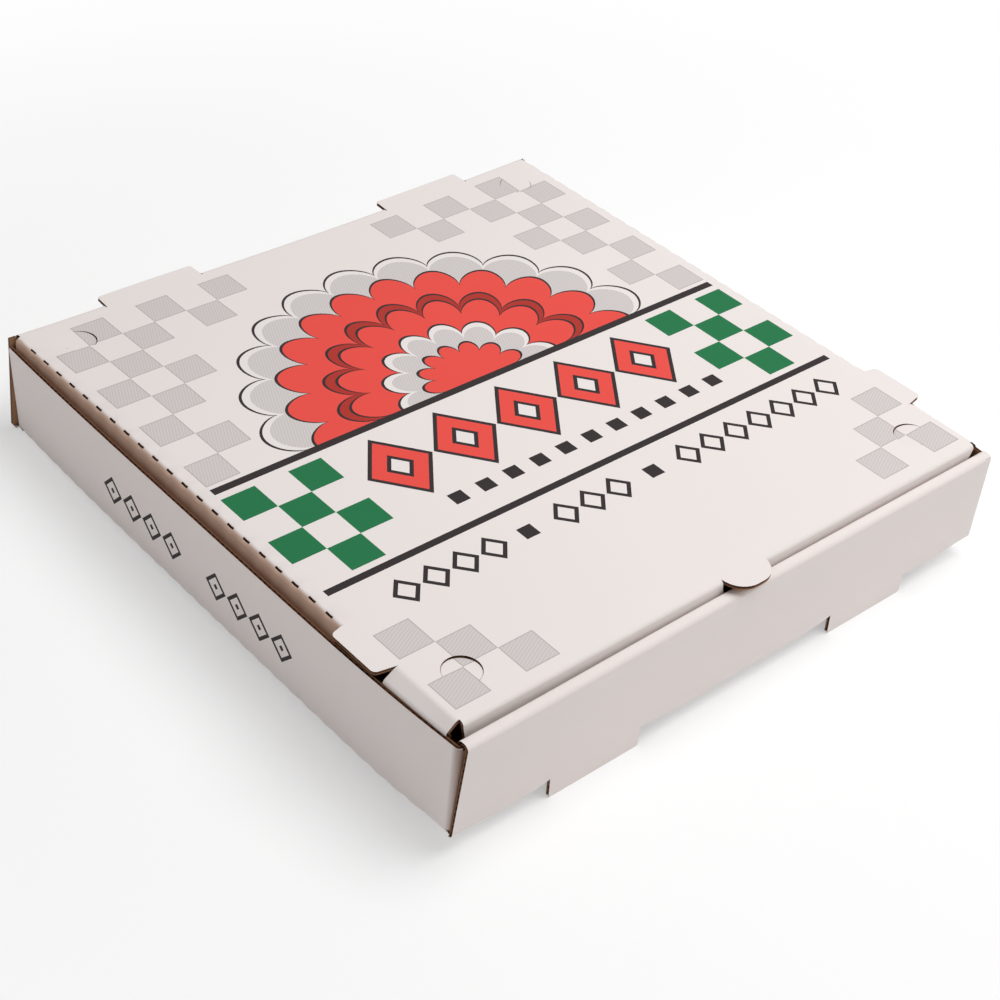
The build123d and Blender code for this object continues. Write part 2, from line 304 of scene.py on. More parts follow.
lid_side = SIDE_X - BOARD / 2 - LID_PLAY - BOARD / 2        # middle plane of the lid's side flaps
panel_side = lid_side - BEND
shoulder_in = panel_side + SHOULDER_GAP
notch_in, notch_out = TAB_IN - NOTCH_PLAY, TAB_OUT + NOTCH_PLAY
rear_crease = bend_sheet((0, floor_rear, wall_foot), BEND, -Z_AXIS, Y_AXIS, X_AXIS, full_width, 0)
rear_wall = flat_sheet((0, REAR_Y, 0), X_AXIS, Z_AXIS, Y_AXIS, 1, cut_line(both_halves([
    (tray_high[0], wall_foot), (tray_high[0], SHOULDER_TOP), (shoulder_in, SHOULDER_TOP),
    (shoulder_in, CREASE_FOOT), (panel_side, CREASE_FOOT), (notch_out, CREASE_FOOT),
    (notch_out - TAB_SLANT, NOTCH_FLOOR, TAB_CORNER), (notch_in + TAB_SLANT, NOTCH_FLOOR, TAB_CORNER),
    (notch_in, CREASE_FOOT)])[::-1]))


# Side walls and corner flaps
# Each side wall is bent up from the floor and left as a raw edge on top. A flap at each of its ends is bent
# round the corner: the front one is caught in the rolled front wall, the rear one lies inside the rear wall.
SIDE_TOP = 46 * MM
CORNER_LEAN_OUT = 1.5 * MM  # how far the left wall's front end follows the leaning front wall
FLAP_STEP = 1.5 * MM
FLAP_TAPER = 8 * MM
FRONT_FLAP = 60 * MM
REAR_FLAP = 40 * MM

flap_foot = BOARD + INNER_GAP
flap_top = SIDE_TOP - FLAP_STEP
scored_run = np.concatenate(([-crease_end], grid_lines(-side_end, side_end, SCORED_LINES), [crease_end]))
side_walls = []
for side in (-1, 1):
    side_walls += [
        bend_sheet((side * floor_side, 0, wall_foot), BEND, -Z_AXIS, side * X_AXIS, Y_AXIS, scored_run, 1,
                   depth=np.where(np.abs(scored_run) > side_end, STRIP_DEPTH, CORE_DEPTH)),
        flat_sheet((side * SIDE_X, 0, 0), Y_AXIS, Z_AXIS, side * X_AXIS, 0, cut_line([
            (-side_end, wall_foot), (side_end, wall_foot), (side_end, flap_foot), (side_end, flap_top),
            (side_end, SIDE_TOP), (-side_end, SIDE_TOP), (-side_end, flap_top), (-side_end, flap_foot)],
            a_lines=SCORED_LINES))]
    for end, reach in ((-1, FRONT_FLAP), (1, REAR_FLAP)):
        free_end = SIDE_X - reach
        corner_run = grid_lines(flap_foot, flap_top)
        if side == end == -1:       # clear of the ridge, which is drawn in at this end
            corner_run = np.append(corner_run, SIDE_TOP)
        side_walls += [
            bend_sheet((side * floor_side, end * side_end, 0), BEND, side * X_AXIS, end * Y_AXIS, Z_AXIS,
                       corner_run, 0, depth=np.where(corner_run < flap_top, CORE_DEPTH, STRIP_DEPTH)),
            flat_sheet((0, end * CORNER_Y, 0), side * X_AXIS, Z_AXIS, end * Y_AXIS, 0, cut_line([
                (free_end, flap_foot + FLAP_TAPER), (floor_side, flap_foot), (floor_side, flap_top),
                (free_end, flap_top - FLAP_TAPER)]))]
side_walls = [leaned(sheet, CORNER_LEAN_OUT) for sheet in side_walls]


# Tray board
# White clay-coated liner outside, brown kraft liner inside and a fluted brown medium glued between them.
# The liners are whole sheets, and the medium shows along every raw edge.
LINER = 0.28 * MM
MEDIUM = 0.2 * MM
FLUTE_PITCH = 3.2 * MM
FLUTE_STEPS = 8             # pieces of medium along one flute
RECESS = 0.45 * MM          # medium set back from the liners' edge
WELD = 0.01 * MM
SCORE_DIP = 0.9 * MM        # how far a scored crease falls in at a knife cut
SIDE_BOW = 3.4 * MM         # how far the side walls stand out in the middle of their top edge
FOOT_BOW = 1.8 * MM         # and in the middle of their foot
REAR_BOW = 0.58             # share of SIDE_BOW left at the rear end of the top edge
REAR_FLARE = 2.2 * MM       # how far the rear wall's ends stand out at their foot
BOW_START = 110 * MM        # middle of the floor to where it begins to spread with the side walls
FLOOR_SAG = 0.25            # share of the way down to the table that the lower edges hang
SAG_CORNER = 45 * MM        # stretch from a front corner in which they begin to hang
SAG_TAB = 14 * MM           # stretch from a foot tab in which they begin to hang
SAG_RISE = 25 * MM          # height up the walls at which nothing hangs
REAR_SAG = 2.8 * MM         # how far the rear edge hangs between the rear corners
REAR_SAG_START = 60 * MM    # middle of the lid to where it begins to fall towards that edge
CORNER_DROP = 2.0 * MM      # how far the lid's left rear corner hangs
SHARP = radians(40)


def weld(place):
    """First of each group of points that share a place, and the group that every point belongs to."""
    cell = np.floor(place / WELD + 0.25).astype(int)        # the shift keeps round sizes off a cell's border
    _, first, group = np.unique(cell, axis=0, return_index=True, return_inverse=True)
    return first, group.ravel()


def unit(vectors):
    """Vectors divided by their lengths."""
    return vectors / np.maximum(np.linalg.norm(vectors, axis=-1, keepdims=True), 1e-12)


def joined(sheets):
    """One surface from sheets that share edges, with each face turned to the side that its liner faces."""
    place = np.concatenate([sheet.place for sheet in sheets])
    offsets = np.cumsum([0] + [len(sheet.place) for sheet in sheets])
    faces = np.concatenate([sheet.faces + offset for sheet, offset in zip(sheets, offsets)])
    first, group = weld(place)
    facing = np.zeros((len(first), 3))
    np.add.at(facing, group, np.concatenate([sheet.facing for sheet in sheets]))
    place, facing, faces = place[first], unit(facing), group[faces]
    flute = np.concatenate([sheet.flute for sheet in sheets])[first]
    depth = np.concatenate([sheet.depth for sheet in sheets])[first]
    a, b, c = place[faces].swapaxes(0, 1)
    turned = (np.cross(b - a, c - a) * facing[faces].sum(1)).sum(1) < 0
    faces[turned] = faces[turned][:, ::-1]
    return Sheet(place, facing, flute, depth, faces)


def raw_edges(faces):
    """Sides of one face only: start and end in that face's own direction, and its third corner."""
    sides = np.concatenate((faces, faces[:, [1, 2, 0]], faces[:, [2, 0, 1]]))
    ends = np.sort(sides[:, :2], axis=1)
    _, group, count = np.unique(ends, axis=0, return_inverse=True, return_counts=True)
    return sides[count[group.ravel()] == 1]


def between(values, near, far, share):
    """Values at a share of the way from the near points to the far ones."""
    return values[near] * (1 - share) + values[far] * share


def fluted_medium(sheet, edges):
    """Ribbon of medium behind every raw edge: a thin strip from the edge inwards whose height in the board is
    rise * sin(turns of the flute), carried along the edge in short pieces that share their points."""
    start, end, third = edges.T
    along, aside = unit(sheet.place[end] - sheet.place[start]), sheet.place[third] - sheet.place[start]
    edge_in = unit(aside - (aside * along).sum(1, keepdims=True) * along)
    inward = np.zeros_like(sheet.place)
    np.add.at(inward, start, edge_in)
    np.add.at(inward, end, edge_in)
    inward /= np.maximum(np.linalg.norm(inward, axis=1, keepdims=True), 1)
    pieces = np.ceil(np.abs(sheet.flute[end] - sheet.flute[start]) / FLUTE_PITCH * FLUTE_STEPS).astype(int)
    pieces = np.maximum(pieces, 1)
    edge = np.repeat(np.arange(len(edges)), pieces)
    near, far = start[edge], end[edge]
    count = np.arange(len(edge)) - np.repeat(np.cumsum(pieces) - pieces, pieces)
    rings = []
    for share in (count / pieces[edge], (count + 1) / pieces[edge]):
        at_edge, into, out, depth, flute = (
            between(values, near, far, share[:, None])
            for values in (sheet.place, inward, sheet.facing, sheet.depth[:, None], sheet.flute[:, None]))
        out = unit(out)
        rise = (BOARD / 2 - LINER - MEDIUM / 2) * np.sin(tau * flute / FLUTE_PITCH)
        front, back = at_edge + RECESS * into, at_edge + depth * into
        above, below = (rise + MEDIUM / 2) * out, (rise - MEDIUM / 2) * out
        rings.append(np.stack((front + above, back + above, back + below, front + below), 1))
    place = np.concatenate((rings[0], rings[1]), 1)
    index = np.arange(len(edge))[:, None] * 8
    faces = np.concatenate([index + np.array(quad) for quad in
                            ((0, 4, 5, 1), (1, 5, 6, 2), (2, 6, 7, 3), (3, 7, 4, 0))])
    first, group = weld(place.reshape(-1, 3))
    return place.reshape(-1, 3)[first], group[faces]


def board_piece(name, sheets, settle, finishes):
    """Folded board as one mesh: each liner is the joined surface moved out or in by half the board, with its
    own thickness and closed along its raw edges, and the medium lies between. settle moves the folded surface
    a little, and finishes are those of the outer liner, inner liner, medium and cut inner edge."""
    sheet = joined(sheets)
    sheet = sheet._replace(place=settle(sheet.place, sheet.facing))
    edges = raw_edges(sheet.faces)
    medium, medium_faces = fluted_medium(sheet, edges)
    half = BOARD / 2
    levels = [half, half - LINER, LINER - half, -half]
    place = np.concatenate([sheet.place + level * sheet.facing for level in levels] + [medium])
    count = len(sheet.place)
    a, b, _ = edges.T
    rims = [np.column_stack((b, a, a + count, b + count)) + 2 * liner * count for liner in (0, 1)]
    turned = sheet.faces[:, ::-1]
    skins = [sheet.faces, turned + count, sheet.faces + 2 * count, turned + 3 * count]
    in_strip = sheet.depth[a] < CORE_DEPTH
    groups = [(skins[0], 0), (skins[1], 1), (skins[2], 1), (skins[3], 1), (rims[0], 2),
              (rims[1], np.where(in_strip, 2, 3)), (medium_faces + 4 * count, 2)]
    mesh = bpy.data.meshes.new(name)
    mesh.from_pydata(place, [], [face for faces, _ in groups for face in faces.tolist()])
    slots = np.concatenate([np.broadcast_to(slot, len(faces)) for faces, slot in groups])
    mesh.polygons.foreach_set("material_index", slots.astype(np.int32))
    for label, value in (("flute", sheet.flute), ("aside", np.abs(sheet.facing[:, 0]))):
        values = np.concatenate([np.tile(value, len(levels)), np.zeros(len(medium))])
        mesh.attributes.new(label, "FLOAT", "POINT").data.foreach_set("value", values.astype(np.float32))
    mesh.shade_smooth()
    mesh.set_sharp_from_angle(angle=SHARP)
    for finish in finishes:
        mesh.materials.append(finish)
    piece = bpy.data.objects.new(name, mesh)
    bpy.context.scene.collection.objects.link(piece)
    return piece


def math_method(operation, reflected=False):
    """Method of a wire that adds one Math node, with the wire as its last value where it is reflected."""
    def method(self, *other):
        values = (*other, self) if reflected else (self, *other)
        return self.math(operation, *values)
    return method


class Wire:
    """A shader socket in Python sums: each operator adds the Math node that works it out."""

    def __init__(self, tree, socket):
        self.tree, self.socket = tree, socket

    def node(self, kind, settings=(), values=(), output=0):
        """Any other node: its settings first, then the values or links of its sockets."""
        made = self.tree.nodes.new(kind)
        for name, value in dict(settings).items():
            setattr(made, name, value)
        for name, value in dict(values).items():
            if isinstance(value, Wire):
                self.tree.links.new(value.socket, made.inputs[name])
            else:
                made.inputs[name].default_value = value
        return Wire(self.tree, made.outputs[output])

    def math(self, operation, *values):
        """One Math node."""
        return self.node("ShaderNodeMath", {"operation": operation}, dict(enumerate(values)))

    __add__ = math_method("ADD")
    __radd__ = math_method("ADD", reflected=True)
    __sub__ = math_method("SUBTRACT")
    __rsub__ = math_method("SUBTRACT", reflected=True)
    __mul__ = math_method("MULTIPLY")
    __rmul__ = math_method("MULTIPLY", reflected=True)
    __truediv__ = math_method("DIVIDE")
    __mod__ = math_method("FLOORED_MODULO")
    __pow__ = math_method("POWER")
    __lt__ = math_method("LESS_THAN")
    __gt__ = math_method("GREATER_THAN")
    __and__ = math_method("MULTIPLY")
    __or__ = math_method("MAXIMUM")
    __abs__ = math_method("ABSOLUTE")
    floor = math_method("FLOOR")
    sin = math_method("SINE")

    def within(self, low, high):
        """1 between two limits, 0 elsewhere."""
        return (self > low) & (self < high)

    def mixed(self, mask, first, second):
        """The first of two colours where the mask is 0, the second where it is 1."""
        # A mix of colours has inputs 6 and 7 and output 2.
        return self.node("ShaderNodeMix", {"data_type": "RGBA"}, {0: mask, 6: first, 7: second}, 2)

    def tinted(self, colour, mask):
        """This colour with another laid over it where the mask is 1."""
        return self.mixed(mask, self, colour)


def new_finish(name):
    """Empty material: the material, a wire to build from and its surface shader."""
    material = bpy.data.materials.new(name)
    material.use_nodes = True
    shader = material.node_tree.nodes["Principled BSDF"]
    return material, Wire(material.node_tree, shader.outputs[0]), shader


def plug(wire, shader, socket):
    """Link a wire to a socket of a shader."""
    wire.tree.links.new(wire.socket, shader.inputs[socket])


def paper(name, tone, deep, roughness, fibre, grain):
    """Paper: a base tone mottled towards a deeper one by broad clouds and fine fibres, with a faint tooth.
    Returns the material, a wire, its shader, the colour and the height of the surface."""
    material, wire, shader = new_finish(name)
    spot = wire.node("ShaderNodeTexCoord", output="Object")
    clouds = wire.node("ShaderNodeTexNoise", values={"Vector": spot, "Scale": 9.0, "Detail": 3.0})
    fibres = wire.node("ShaderNodeTexNoise", values={
        "Vector": spot, "Scale": fibre, "Detail": 4.0, "Roughness": 0.7})
    base = wire.mixed(clouds * 0.5 + fibres * grain, tone, deep)
    plug(fibres * 0.12 + (roughness - 0.06), shader, "Roughness")
    shader.inputs["Specular IOR Level"].default_value = 0.12
    return material, wire, shader, base, fibres


def emboss(wire, shader, strength, depth, height):
    """Relief that only changes how light falls on a surface."""
    bump = wire.node("ShaderNodeBump", values={"Strength": strength, "Distance": depth, "Height": height})
    plug(bump, shader, "Normal")


def flute_height(wire):
    """Wave of the flutes under a liner, from the board's own flute coordinate."""
    flute = wire.node("ShaderNodeAttribute", {"attribute_name": "flute"}, output="Fac")
    return (flute * (tau / FLUTE_PITCH)).sin() * 0.5 + 0.5


def kraft_liner():
    """Brown kraft liner: mottled fibres, with the flutes showing through as faint ribs."""
    material, wire, shader, base, fibres = paper(
        "kraft_liner", (0.48, 0.27, 0.15, 1), (0.36, 0.195, 0.105, 1), 0.75, 900.0, 0.5)
    plug(base, shader, "Base Color")
    emboss(wire, shader, 0.5, 0.12 * MM, flute_height(wire) + fibres * 0.4)
    return material


def torn_paper(name, tone, deep):
    """Raw brown paper, as in the fluted medium and along a knife cut: rough, dark fibres."""
    material, wire, shader, base, fibres = paper(name, tone, deep, 0.85, 1500.0, 0.7)
    plug(base, shader, "Base Color")
    emboss(wire, shader, 0.6, 0.05 * MM, fibres)
    return material


def white_liner(name, tone, printed):
    """White clay-coated liner: a warm white with faint clouds, the ribs of the flutes under it and flat inks.
    printed(colour, x, y, z) lays the inks and any painted shade on and returns the new colour and a mask of
    where ink lies."""
    material, wire, shader, base, fibres = paper(name, tone, (0.80, 0.735, 0.71, 1), 0.62, 700.0, 0.35)
    spot = wire.node("ShaderNodeTexCoord", output="Object")
    x, y, z = (wire.node("ShaderNodeSeparateXYZ", values={"Vector": spot}, output=axis) for axis in "XYZ")
    colour, ink = printed(base, x, y, z)
    plug(colour, shader, "Base Color")
    emboss(wire, shader, 0.25, 0.05 * MM, flute_height(wire) + fibres * 0.5 + ink * 0.3)
    return material


def lozenges(a, b, first, width, count, middle, height):
    """Row of lozenges: 0 in the middle of each and 1 on its outline, with a mask of the row's length."""
    place = (a - first) / width
    across = abs(place % 1.0 - 0.5) * 2.0
    return across + abs(b - middle) * (2 / height), place.within(0.0, float(count))


TRAY_WHITE = (0.86, 0.785, 0.76, 1)
FOLD_SHADE_BROWN = (0.24, 0.14, 0.10, 1)     # painted brown shade on the side walls' end folds, where the front wall's end shades them
FOLD_REACH = tray_high[1] - 0.3 * MM        # how far along the box the painted shade on the side walls' end folds reaches
FOLD_TOP = SIDE_TOP - 0.2 * MM              # and how far up
BLACK_INK = (0.03, 0.023, 0.024, 1)
MARK_WIDTH = 15.2 * MM
MARK_HEIGHT = 16 * MM
MARK_MIDDLE = 19.5 * MM
MARK_ROWS = ((16.3 * MM, 4), (-61.5 * MM, 4))       # where a row of side marks begins, and how many it has
MARK_LINE = (0.66, 0.95)    # inner and outer edge of a mark's outline, as shares of the mark
MARK_DOT = 0.2              # and the edge of the dot inside it


def side_marks(colour, x, y, z):
    """Two rows of open black lozenges along each side wall, and painted brown shade on the folds at its ends,
    growing towards the box's ends.
    """
    fold = colour.node("ShaderNodeMapRange", values={
        "Value": abs(y), "From Min": side_end - BEND / 4, "From Max": FOLD_REACH})
    beside_front = (abs(x) > floor_side - BEND) & (abs(y) < FOLD_REACH) & (z < FOLD_TOP)
    # painted shade: brown laid over the end folds of the side walls, growing towards the box's ends
    colour = colour.tinted(FOLD_SHADE_BROWN, fold & beside_front)
    rows = [lozenges(y, z, first, MARK_WIDTH, count, MARK_MIDDLE, MARK_HEIGHT) for first, count in MARK_ROWS]
    rear, front = ((distance.within(*MARK_LINE) | (distance < MARK_DOT)) & row for distance, row in rows)
    ink = (rear | front) & (abs(x) > SIDE_X)
    return colour.tinted(BLACK_INK, ink), ink


def scalloped(place, facing, side_x, upper_z, lower_z, front_y):
    """Places pulled in along the scored creases: most at the middle of a bend and beside a knife cut."""
    bend = np.clip(1 - np.abs(np.abs(facing[:, 0]) - np.abs(facing[:, 2])), 0, 1)
    bend = bend * (np.abs(place[:, 0]) > side_x) * (place[:, 2] > lower_z) * (place[:, 2] < upper_z)
    bend = bend * (place[:, 1] > front_y)
    cut = 1 - np.abs(np.sin(pi * (place[:, 1] - dash_middles[0]) / DASH_PITCH))
    return place - (SCORE_DIP * bend * cut)[:, None] * facing


def smooth(value, low, high):
    """Smooth rise from 0 at low to 1 at high."""
    share = np.clip((value - low) / (high - low), 0, 1)
    return share * share * (3 - 2 * share)


def rear_sagged(place):
    """Places with the rear edge hanging: z falls by REAR_SAG times 1 - (x / half width) ** 2, times a smooth
    rise towards the rear, times the share of the lid's height, and by CORNER_DROP at the left rear corner."""
    middle = np.clip(1 - (place[:, 0] / SIDE_X) ** 2, 0, 1)
    rear = smooth(place[:, 1], REAR_SAG_START, REAR_Y)
    height = np.clip(place[:, 2] / lid_high[2], 0, 1)
    corner = smooth(-place[:, 0], REAR_SAG_START, lid_side) * rear
    above_wall = np.clip((place[:, 2] - SIDE_TOP) / (lid_high[2] - SIDE_TOP), 0, 1)
    return place - (REAR_SAG * middle * rear * height + CORNER_DROP * corner * above_wall)[:, None] * Z_AXIS


table_fall = -tray_low[2] / (floor_rear - FRONT_Y)  # slope of a table under the foot tabs and the rear edge


def floor_sagged(place):
    """Places with the lower edges hanging a share of the way down to the table, less towards the front
    corners, the foot tabs and a height up the walls."""
    x, y, z = np.abs(place[:, 0]), place[:, 1], place[:, 2]
    to_table = table_fall * np.clip(floor_rear - y, 0, None)
    corner = smooth(np.hypot(SIDE_X - x, y - FRONT_Y), 0, SAG_CORNER)
    beside_tab = smooth(np.maximum(TAB_IN - x, x - TAB_OUT), 0, SAG_TAB)
    front = smooth(-y, -FRONT_Y - SAG_CORNER, -FRONT_Y)
    low = np.clip(1 - z / SAG_RISE, 0, 1) ** 2
    return place - (FLOOR_SAG * to_table * corner * (1 - front * (1 - beside_tab)) * low)[:, None] * Z_AXIS


def wall_bow(place):
    """How far a side wall stands out: from FOOT_BOW at its foot to SIDE_BOW at its top edge, times
    1 - (y / half length) ** 4, but no less than REAR_BOW of it at the rear end of the top edge."""
    fall = np.clip(place[:, 1] / side_end, -1, 1) ** 4
    height = np.clip(place[:, 2] / SIDE_TOP, 0, 1)
    top_fall = fall * np.where(place[:, 1] > 0, 1 - REAR_BOW, 1)
    return FOOT_BOW * (1 - fall) * (1 - height) + SIDE_BOW * (1 - top_fall) * height


FOOT_SHIFT = 2.5 * MM       # right foot tab lies this much further out than the left one
HEEL_SHIFT = 3 * MM         # each heel tab is this much longer at its right end
SHIFT_FADE = 25 * MM        # stretch beside a foot tab, or below a heel tab, in which the shift fades
HEEL_START = 12 * MM        # rear wall to where the heel tabs' shift begins
HEEL_WHOLE = 4 * MM         # and to where it is whole
HEEL_CLEAR = 5 * MM         # right heel tab's outer end to where its shift begins to fade


def tabs_shifted(place):
    """Places with the right foot tab moved along the front's lower edge, and the heel tabs stretched along
    the rear's upper edge: x grows by smooth steps along x that fade away from the edge."""
    x, y, z = place.T
    front_low = smooth(-y, -FRONT_Y - SHIFT_FADE, -FRONT_Y - SLOT_DEPTH) * (1 - smooth(z, BOARD, SHIFT_FADE))
    foot = smooth(x, TAB_IN - SHIFT_FADE, TAB_IN) * (1 - smooth(x, TAB_OUT, TAB_OUT + SHIFT_FADE))
    rear_high = smooth(y, REAR_Y - HEEL_START, REAR_Y - HEEL_WHOLE) * smooth(z, SHIFT_FADE, NOTCH_FLOOR)
    heel = smooth(x, -TAB_OUT, -TAB_IN) + smooth(x, TAB_IN, TAB_OUT)
    heel = heel * (1 - smooth(x, TAB_OUT + HEEL_CLEAR, panel_side))
    return place + (FOOT_SHIFT * foot * front_low + HEEL_SHIFT * heel * rear_high)[:, None] * X_AXIS


def settle_tray(place, facing):
    """Side walls bow out, most in the middle of their top edge, the rear wall's ends flare at their foot, the
    scored floor creases dip at each cut, the lower edges and the rear edge hang, and the tabs are shifted."""
    place = scalloped(place, facing, floor_side - BEND, wall_foot + BOARD, -BOARD, -side_end)
    x, y, z = place.T
    side = smooth(np.abs(x), BOW_START, floor_side) * np.sign(x)
    flare = REAR_FLARE * np.clip(1 - z / SIDE_TOP, 0, 1) * np.clip(z / wall_foot, 0, 1) * (y > 0)
    out = np.where(np.abs(y) > CORNER_Y + WELD, flare, wall_bow(place))
    return tabs_shifted(floor_sagged(rear_sagged(place + (out * side)[:, None] * X_AXIS)))


kraft = kraft_liner()
brown_medium = torn_paper("brown_medium", (0.15, 0.065, 0.036, 1), (0.075, 0.032, 0.018, 1))
cut_edge = torn_paper("cut_edge", (0.27, 0.125, 0.07, 1), (0.18, 0.08, 0.045, 1))
tray_board = board_piece(
    "tray_board", [floor, *front_wall, rear_crease, rear_wall, *side_walls], settle_tray,
    (white_liner("white_liner_tray", TRAY_WHITE, side_marks), kraft, brown_medium, cut_edge))
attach(tray_board, "tray")
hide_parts("tray")


# Lid
# The top panel, with side and front flaps bent down to tuck inside the walls. Side, heel and thumb tabs are
# cut out of the panels beside it and stay flat, and four half-moon vents are cut and pressed in a little.
SIDE_FLAP_FOOT = 17.5 * MM
FLAP_SLANT = 8 * MM
SHOULDER_TURNS = ((0, 1.6, 42), (5.6, 7.4, 106), (7.4, 8.6, -58))   # soft fold: start, end in mm, degrees
SHOULDER_STEP = 0.2 * MM
HINGE_BEND = 3 * MM         # radius of the hinge crease at the middle of the board
SIDE_TAB_STATION = 99.6 * MM
SIDE_TAB_HALF = 15 * MM
SIDE_TAB_CORNER = 2.5 * MM
LID_TAB_SLANT = 2 * MM      # how far a side tab or the thumb tab draws in at each end
THUMB_HALF = 12.5 * MM
THUMB_CORNER = 10.4 * MM
THUMB_NOTCH = 9 * MM        # depth of the notch that the thumb tab leaves in the front flap
NOTCH_CORNER = 9.36 * MM
FOLD_STEPS = 10             # steps of the scored side fold
DASH_STEPS = slice(2, 5)    # those that a knife cut takes away
REAR_END_GAP = 0.6 * MM     # side flaps' rear ends to the corner flaps
FRONT_END_GAP = 1 * MM      # side flaps' front ends to the front flap
FLAP_FOLLOW = 0.8           # how much of the side walls' bow the side flaps follow
FRONT_LEAN = 3.65           # degrees that the front flap leans in
VENT_RADIUS = 8 * MM
VENT_SWEEP = 245.0          # degrees that are cut, open towards the lid's corner
VENT_INSET = 21 * MM        # lid's crease or end to a vent's centre
VENT_CUT = 0.5 * MM         # width in the middle of the cut
VENT_CUT_END = 0.14 * MM    # and at its ends
VENT_PRESS = radians(4)
VENT_POINTS = 45            # points along one side of the cut

lid_z = lid_high[2] - BOARD / 2


def shoulder_path():
    """Path of the board over a shoulder, as x out and z down from where the lid is flat: each turn adds to
    its heading in step with the length along it, and the path adds up short steps in that heading."""
    run = np.arange(0, SHOULDER_TURNS[-1][1] * MM + SHOULDER_STEP / 2, SHOULDER_STEP)
    heading = np.zeros(len(run))
    for low, high, turn in SHOULDER_TURNS:
        heading += radians(turn) * np.clip((run / MM - low) / (high - low), 0, 1)
    middle = (heading[1:] + heading[:-1]) / 2
    steps = np.column_stack((np.cos(middle), np.sin(middle))) * SHOULDER_STEP
    return run, heading, np.concatenate((np.zeros((1, 2)), np.cumsum(steps, axis=0)))


shoulder_run, shoulder_heading, shoulder = shoulder_path()
soft_side = lid_side - shoulder[-1, 0]
lid_front = inner_y + BOARD + LID_PLAY      # where the planes of the lid and its front flap meet
panel_front = lid_front + BEND * tan(radians(90 + FRONT_LEAN) / 2)
panel_rear = REAR_Y - HINGE_BEND
flap_rear = CORNER_Y - BOARD / 2 - REAR_END_GAP
flap_front = lid_front + BOARD / 2 + FRONT_END_GAP
tab_rear, tab_front = SIDE_TAB_HALF - SIDE_TAB_STATION, -SIDE_TAB_HALF - SIDE_TAB_STATION
flap_head = lid_z - BEND
soft_head = lid_z - shoulder[-1, 1]
tab_notch = lid_high[2] - (lid_high[0] - soft_side)


def vent_slit(centre, towards_corner):
    """Outline of one curved knife cut, on two arcs about the vent's centre that draw together at the cut's
    ends by the square of a sine."""
    share = np.linspace(0, 1, VENT_POINTS)
    angle = towards_corner + pi + radians(VENT_SWEEP) * (share - 0.5)
    arc = np.column_stack((np.cos(angle), np.sin(angle)))
    half = (VENT_CUT_END + (VENT_CUT - VENT_CUT_END) * np.sin(pi * share) ** 2)[:, None] / 2
    return centre + np.concatenate((arc * (VENT_RADIUS + half), (arc * (VENT_RADIUS - half))[::-1]))


vents = []
for side in (-1, 1):
    for end, middle in ((-1, lid_front + VENT_INSET), (1, tray_high[1] - VENT_INSET)):
        vents.append((np.array((side * (lid_side - VENT_INSET), middle)), np.arctan2(end, side)))
lid_corners = both_halves([
    (THUMB_HALF - LID_TAB_SLANT, lid_low[1], THUMB_CORNER), (THUMB_HALF, panel_front),
    (soft_side, panel_front), (soft_side, flap_front), (soft_side, tab_front),
    (lid_high[0], tab_front + LID_TAB_SLANT, SIDE_TAB_CORNER),
    (lid_high[0], tab_rear - LID_TAB_SLANT, SIDE_TAB_CORNER),
    (panel_side, tab_rear), (panel_side, flap_rear), (panel_side, panel_rear), (notch_out, panel_rear),
    (TAB_OUT, panel_rear), (TAB_OUT - TAB_SLANT, lid_high[1], TAB_CORNER),
    (TAB_IN + TAB_SLANT, lid_high[1], TAB_CORNER), (TAB_IN, panel_rear), (notch_in, panel_rear)])
lid_panel = flat_sheet((0, 0, lid_z), X_AXIS, Y_AXIS, Z_AXIS, 1, cut_line(lid_corners, b_lines=SCORED_LINES),
                       [vent_slit(*vent) for vent in vents])

front_halves = [grid_lines(-soft_side, -THUMB_HALF), grid_lines(THUMB_HALF, soft_side)]
lean = radians(FRONT_LEAN)
flap_down = np.array((0, sin(lean), -cos(lean)))
flap_facing = np.array((0, -cos(lean), -sin(lean)))
flap_origin = np.array((0, panel_front, flap_head)) + BEND * flap_facing
flap_length = (flap_origin[2] - SIDE_FLAP_FOOT) / cos(lean)
lid_flaps = [
    bend_sheet((0, panel_front, flap_head), BEND, Z_AXIS, -Y_AXIS, X_AXIS, lines, 0, turn=90 + FRONT_LEAN)
    for lines in front_halves]
lid_flaps.append(flat_sheet(flap_origin, X_AXIS, flap_down, flap_facing, 1, cut_line(both_halves([
    (THUMB_HALF - LID_TAB_SLANT, THUMB_NOTCH, NOTCH_CORNER), (THUMB_HALF, 0), (soft_side, 0),
    (soft_side - FLAP_SLANT, flap_length)]))))
side_run = grid_lines(tab_rear, flap_rear, SCORED_LINES)
soft_run = grid_lines(flap_front, tab_front, SCORED_LINES)
run_middles = (side_run[:-1] + side_run[1:]) / 2
gap_to_dash = np.abs(run_middles[:, None] - dash_middles[1:DASH_COUNT + 1]).min(1)
dash_cells = np.zeros((FOLD_STEPS, len(run_middles)), bool)
dash_cells[DASH_STEPS] = gap_to_dash < DASH_LENGTH / 2
shoulder_out, shoulder_up = np.sin(shoulder_heading)[:, None], np.cos(shoulder_heading)[:, None]
